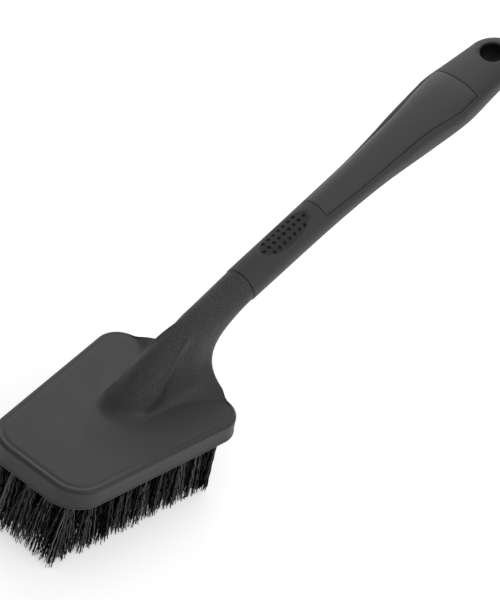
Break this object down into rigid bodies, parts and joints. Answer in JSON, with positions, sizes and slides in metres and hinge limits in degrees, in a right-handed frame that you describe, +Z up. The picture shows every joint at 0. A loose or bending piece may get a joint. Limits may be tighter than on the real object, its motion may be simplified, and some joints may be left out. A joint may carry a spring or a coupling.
{
  "type": "wheel brush",
  "caption": "Hand brush with a flat trapezium head, a swept neck, a long soft grip with a let-in top panel, and a hanging hole.",
  "frame": {"origin": "on the bristle tips, under the middle tuft of the seventh row, counted from the toe", "axes": "+X from the toe of the head to the end of the handle, +Y to the left, +Z up from the bristle tips to the block"},
  "size_m": [0.4731, 0.1128, 0.191],
  "materials": {
    "head_plastic": "black polypropylene with a spark-eroded matt grain",
    "sleeve_rubber": "smooth satin thermoplastic rubber",
    "panel_plastic": "smooth satin black plastic",
    "bristle_fibre": "black crimped polypropylene filament"
  },
  "bodies": {
    "root": {"brush_head": "head_plastic", "grip_panel": "panel_plastic", "grip_sleeve": "sleeve_rubber", "tuft_row1_1": "bristle_fibre", "tuft_row1_2": "bristle_fibre", "tuft_row1_3": "bristle_fibre", "tuft_row1_4": "bristle_fibre", "tuft_row1_5": "bristle_fibre", "tuft_row2_1": "bristle_fibre", "tuft_row2_2": "bristle_fibre", "tuft_row2_3": "bristle_fibre", "tuft_row2_4": "bristle_fibre", "tuft_row2_5": "bristle_fibre", "tuft_row3_1": "bristle_fibre", "tuft_row3_2": "bristle_fibre", "tuft_row3_3": "bristle_fibre", "tuft_row3_4": "bristle_fibre", "tuft_row3_5": "bristle_fibre", "tuft_row3_6": "bristle_fibre", "tuft_row4_1": "bristle_fibre", "tuft_row4_2": "bristle_fibre", "tuft_row4_3": "bristle_fibre", "tuft_row4_4": "bristle_fibre", "tuft_row4_5": "bristle_fibre", "tuft_row4_6": "bristle_fibre", "tuft_row5_1": "bristle_fibre", "tuft_row5_2": "bristle_fibre", "tuft_row5_3": "bristle_fibre", "tuft_row5_4": "bristle_fibre", "tuft_row5_5": "bristle_fibre", "tuft_row5_6": "bristle_fibre", "tuft_row6_1": "bristle_fibre", "tuft_row6_2": "bristle_fibre", "tuft_row6_3": "bristle_fibre", "tuft_row6_4": "bristle_fibre", "tuft_row6_5": "bristle_fibre", "tuft_row6_6": "bristle_fibre", "tuft_row7_1": "bristle_fibre", "tuft_row7_2": "bristle_fibre", "tuft_row7_3": "bristle_fibre", "tuft_row7_4": "bristle_fibre", "tuft_row7_5": "bristle_fibre", "tuft_row7_6": "bristle_fibre", "tuft_row7_7": "bristle_fibre", "tuft_row8_1": "bristle_fibre", "tuft_row8_2": "bristle_fibre", "tuft_row8_3": "bristle_fibre", "tuft_row8_4": "bristle_fibre", "tuft_row8_5": "bristle_fibre", "tuft_row8_6": "bristle_fibre", "tuft_row8_7": "bristle_fibre", "tuft_row9_1": "bristle_fibre", "tuft_row9_2": "bristle_fibre", "tuft_row9_3": "bristle_fibre", "tuft_row9_4": "bristle_fibre", "tuft_row9_5": "bristle_fibre", "tuft_row9_6": "bristle_fibre", "tuft_row9_7": "bristle_fibre"}
  },
  "joints": []
}
